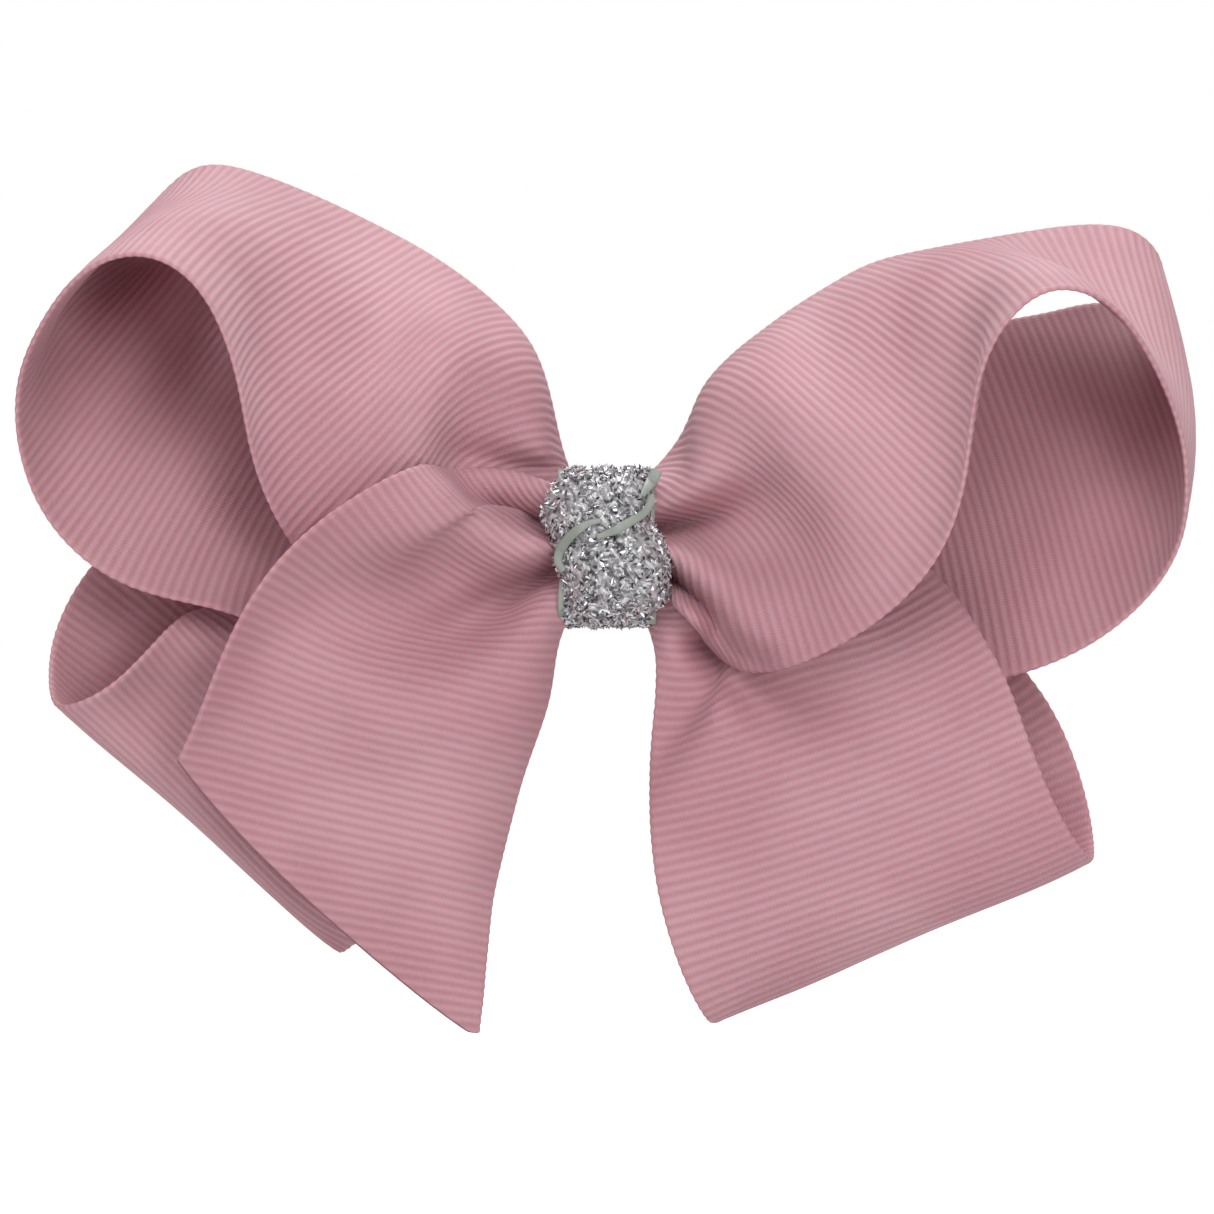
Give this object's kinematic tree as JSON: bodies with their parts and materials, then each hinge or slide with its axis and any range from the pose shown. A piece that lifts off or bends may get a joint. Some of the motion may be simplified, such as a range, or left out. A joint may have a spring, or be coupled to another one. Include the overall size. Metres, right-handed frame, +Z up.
{
  "type": "hair bow clip",
  "caption": "Looped grosgrain ribbon hair bow pinched and knotted in the middle, on a sprung alligator clip that grips the hair behind it.",
  "frame": {"origin": "middle of the centre band's back face, where the band's outside meets the hair in the clip's mouth", "axes": "+Y out of the back of the bow into the hair; -Y is the side that is seen; +X along the clip towards the thumb tabs, to the viewer's right; +Z up as worn"},
  "size_m": [0.1126, 0.0407, 0.0836],
  "materials": {
    "rose_ribbon": "ribbed woven ribbon, dusty rose, matt with a faint sheen",
    "rose_thread": "waxed sewing thread",
    "silver_glitter": "ribbon coated with silver glitter, smooth grey-green back and edges",
    "clip_steel": "nickel-plated pressed steel",
    "set_glue": "set hot glue, milky"
  },
  "bodies": {
    "bow": {"ribbon_loop_upper_left": "rose_ribbon", "ribbon_loop_upper_right": "rose_ribbon", "ribbon_loop_lower_left": "rose_ribbon", "ribbon_loop_lower_right": "rose_ribbon", "ribbon_tail_front": "rose_ribbon", "ribbon_tail_rear": "rose_ribbon", "ribbon_waist": "rose_ribbon", "gather_thread": "rose_thread", "center_band": "silver_glitter", "center_knot": "silver_glitter", "clip_lining": "rose_ribbon", "glue_pad": "set_glue", "clip_top_plate": "clip_steel", "hinge_pin": "clip_steel", "spring_plate_arm": "clip_steel"},
    "jaw": {"clip_jaw": "clip_steel", "spring_jaw_arm": "clip_steel"}
  },
  "joints": [
    {"name": "jaw_hinge", "type": "hinge", "parent": "bow", "child": "jaw", "pos_m": [0.0105, 0.0022, 0], "axis": [0, 0, -1], "range_deg": [0, 30], "stiffness_Nm_per_rad": 0.08, "springref_deg": -57.3}
  ]
}
